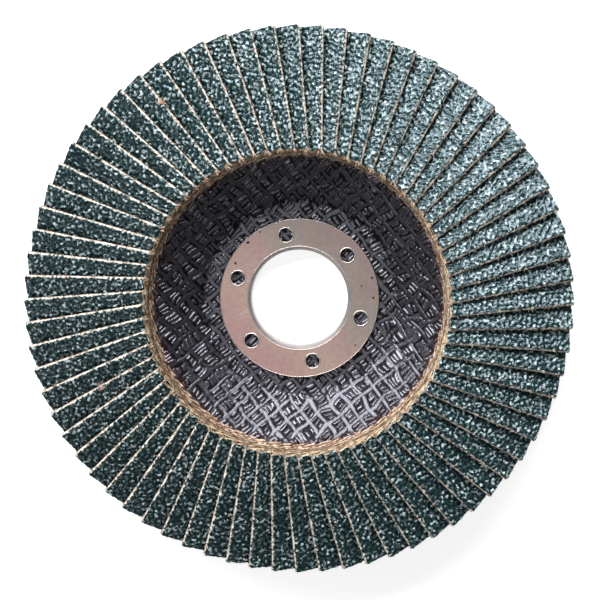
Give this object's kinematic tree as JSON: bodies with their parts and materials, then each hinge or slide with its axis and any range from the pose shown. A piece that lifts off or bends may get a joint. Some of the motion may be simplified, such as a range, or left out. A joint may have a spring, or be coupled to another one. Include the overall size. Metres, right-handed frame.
{
  "type": "flap disc",
  "caption": "Angle-grinder flap disc: overlapping abrasive cloth flaps fanned on a dished glass-fibre backing plate with a steel-lined centre bore.",
  "frame": {"origin": "centre of the bore in the plane of the hub's back face, on which the disc lies", "axes": "+Z along the spindle axis, from the backing plate towards the working face; +Y through the outer corner of one flap"},
  "size_m": [0.125, 0.125, 0.0174],
  "materials": {
    "glass_fibre_plate": "woven glass fibre in black phenolic resin",
    "zinc_plated_steel": "zinc plated, dull",
    "cured_adhesive": "cured epoxy, amber",
    "abrasive_cloth": "zirconia grit resin-bonded to cotton and polyester cloth"
  },
  "bodies": {
    "root": {"backing_plate": "glass_fibre_plate", "centre_ring": "zinc_plated_steel", "adhesive_ring": "cured_adhesive", "flap_pair_01": "abrasive_cloth", "flap_pair_02": "abrasive_cloth", "flap_pair_03": "abrasive_cloth", "flap_pair_04": "abrasive_cloth", "flap_pair_05": "abrasive_cloth", "flap_pair_06": "abrasive_cloth", "flap_pair_07": "abrasive_cloth", "flap_pair_08": "abrasive_cloth", "flap_pair_09": "abrasive_cloth", "flap_pair_10": "abrasive_cloth", "flap_pair_11": "abrasive_cloth", "flap_pair_12": "abrasive_cloth", "flap_pair_13": "abrasive_cloth", "flap_pair_14": "abrasive_cloth", "flap_pair_15": "abrasive_cloth", "flap_pair_16": "abrasive_cloth", "flap_pair_17": "abrasive_cloth", "flap_pair_18": "abrasive_cloth", "flap_pair_19": "abrasive_cloth", "flap_pair_20": "abrasive_cloth", "flap_pair_21": "abrasive_cloth", "flap_pair_22": "abrasive_cloth", "flap_pair_23": "abrasive_cloth", "flap_pair_24": "abrasive_cloth", "flap_pair_25": "abrasive_cloth", "flap_pair_26": "abrasive_cloth", "flap_pair_27": "abrasive_cloth", "flap_pair_28": "abrasive_cloth", "flap_pair_29": "abrasive_cloth", "flap_pair_30": "abrasive_cloth", "flap_pair_31": "abrasive_cloth", "flap_pair_32": "abrasive_cloth", "flap_pair_33": "abrasive_cloth", "flap_pair_34": "abrasive_cloth", "flap_pair_35": "abrasive_cloth", "flap_pair_36": "abrasive_cloth"}
  },
  "joints": []
}
